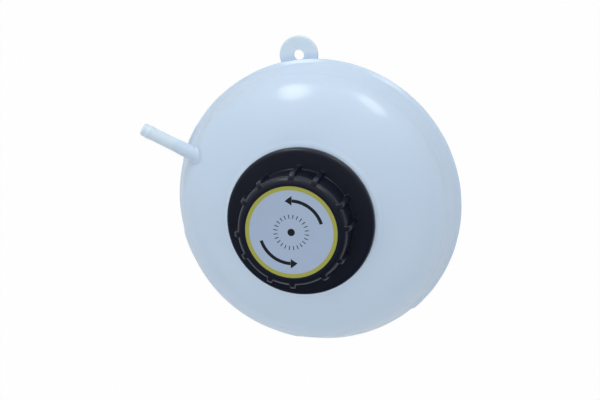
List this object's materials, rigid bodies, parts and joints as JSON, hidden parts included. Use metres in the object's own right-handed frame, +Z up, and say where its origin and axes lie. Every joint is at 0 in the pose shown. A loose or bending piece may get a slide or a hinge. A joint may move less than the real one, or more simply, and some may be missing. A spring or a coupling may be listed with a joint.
{
  "type": "coolant expansion tank",
  "caption": "Round flattened coolant expansion tank of two welded milky shells, with a brimmed black screw cap that holds relief valves, a vent nipple, a round lug and a bottom outlet.",
  "frame": {"origin": "centre of the outlet stub, where its straight wall ends above the rounded nose", "axes": "+Z up along the filler axis, from the outlet to the cap; +Y from the axis to the mounting lug"},
  "size_m": [0.1884, 0.1937, 0.1575],
  "materials": {
    "tank_plastic": "milky translucent moulded polypropylene, satin gloss",
    "cap_plastic": "black moulded nylon, satin",
    "label_film": "printed film, off-white with a yellow ring",
    "carrier_plastic": "dark grey moulded nylon",
    "valve_plastic": "natural white moulded plastic",
    "seal_rubber": "black seal rubber",
    "spring_steel": "bright spring steel",
    "valve_brass": "turned brass"
  },
  "bodies": {
    "tank": {"upper_half_shell": "tank_plastic", "lower_half_shell": "tank_plastic"},
    "valve_carrier": {"valve_carrier": "carrier_plastic", "neck_gasket": "seal_rubber", "carrier_o_ring": "seal_rubber", "spring_retainer": "carrier_plastic", "pressure_spring": "spring_steel"},
    "cap": {"cap_cover": "cap_plastic", "cap_label": "label_film"},
    "pressure_valve": {"pressure_plunger": "valve_plastic", "valve_seal": "seal_rubber", "vacuum_spring": "spring_steel"},
    "vacuum_valve": {"vacuum_valve": "valve_brass", "vacuum_clip": "spring_steel"}
  },
  "joints": [
    {"name": "carrier_lift", "type": "slide", "parent": "tank", "child": "valve_carrier", "axis": [0, 0, 1], "range_m": [0, 0.008]},
    {"name": "cap_turn", "type": "hinge", "parent": "valve_carrier", "child": "cap", "pos_m": [0, 0, 0.14967], "axis": [0, 0, 1], "range_deg": [0, 720]},
    {"name": "pressure_valve_lift", "type": "slide", "parent": "valve_carrier", "child": "pressure_valve", "axis": [0, 0, 1], "range_m": [0, 0.003], "stiffness_N_per_m": 5000, "springref_m": -0.0054, "deforming": ["pressure_spring"]},
    {"name": "vacuum_valve_drop", "type": "slide", "parent": "pressure_valve", "child": "vacuum_valve", "axis": [0, 0, -1], "range_m": [0, 0.0015], "stiffness_N_per_m": 200, "springref_m": -0.002, "deforming": ["vacuum_spring"]}
  ],
  "couplings": [
    {"joint": "cap_turn", "follows": "carrier_lift", "rad_per_m": 1570.8}
  ]
}
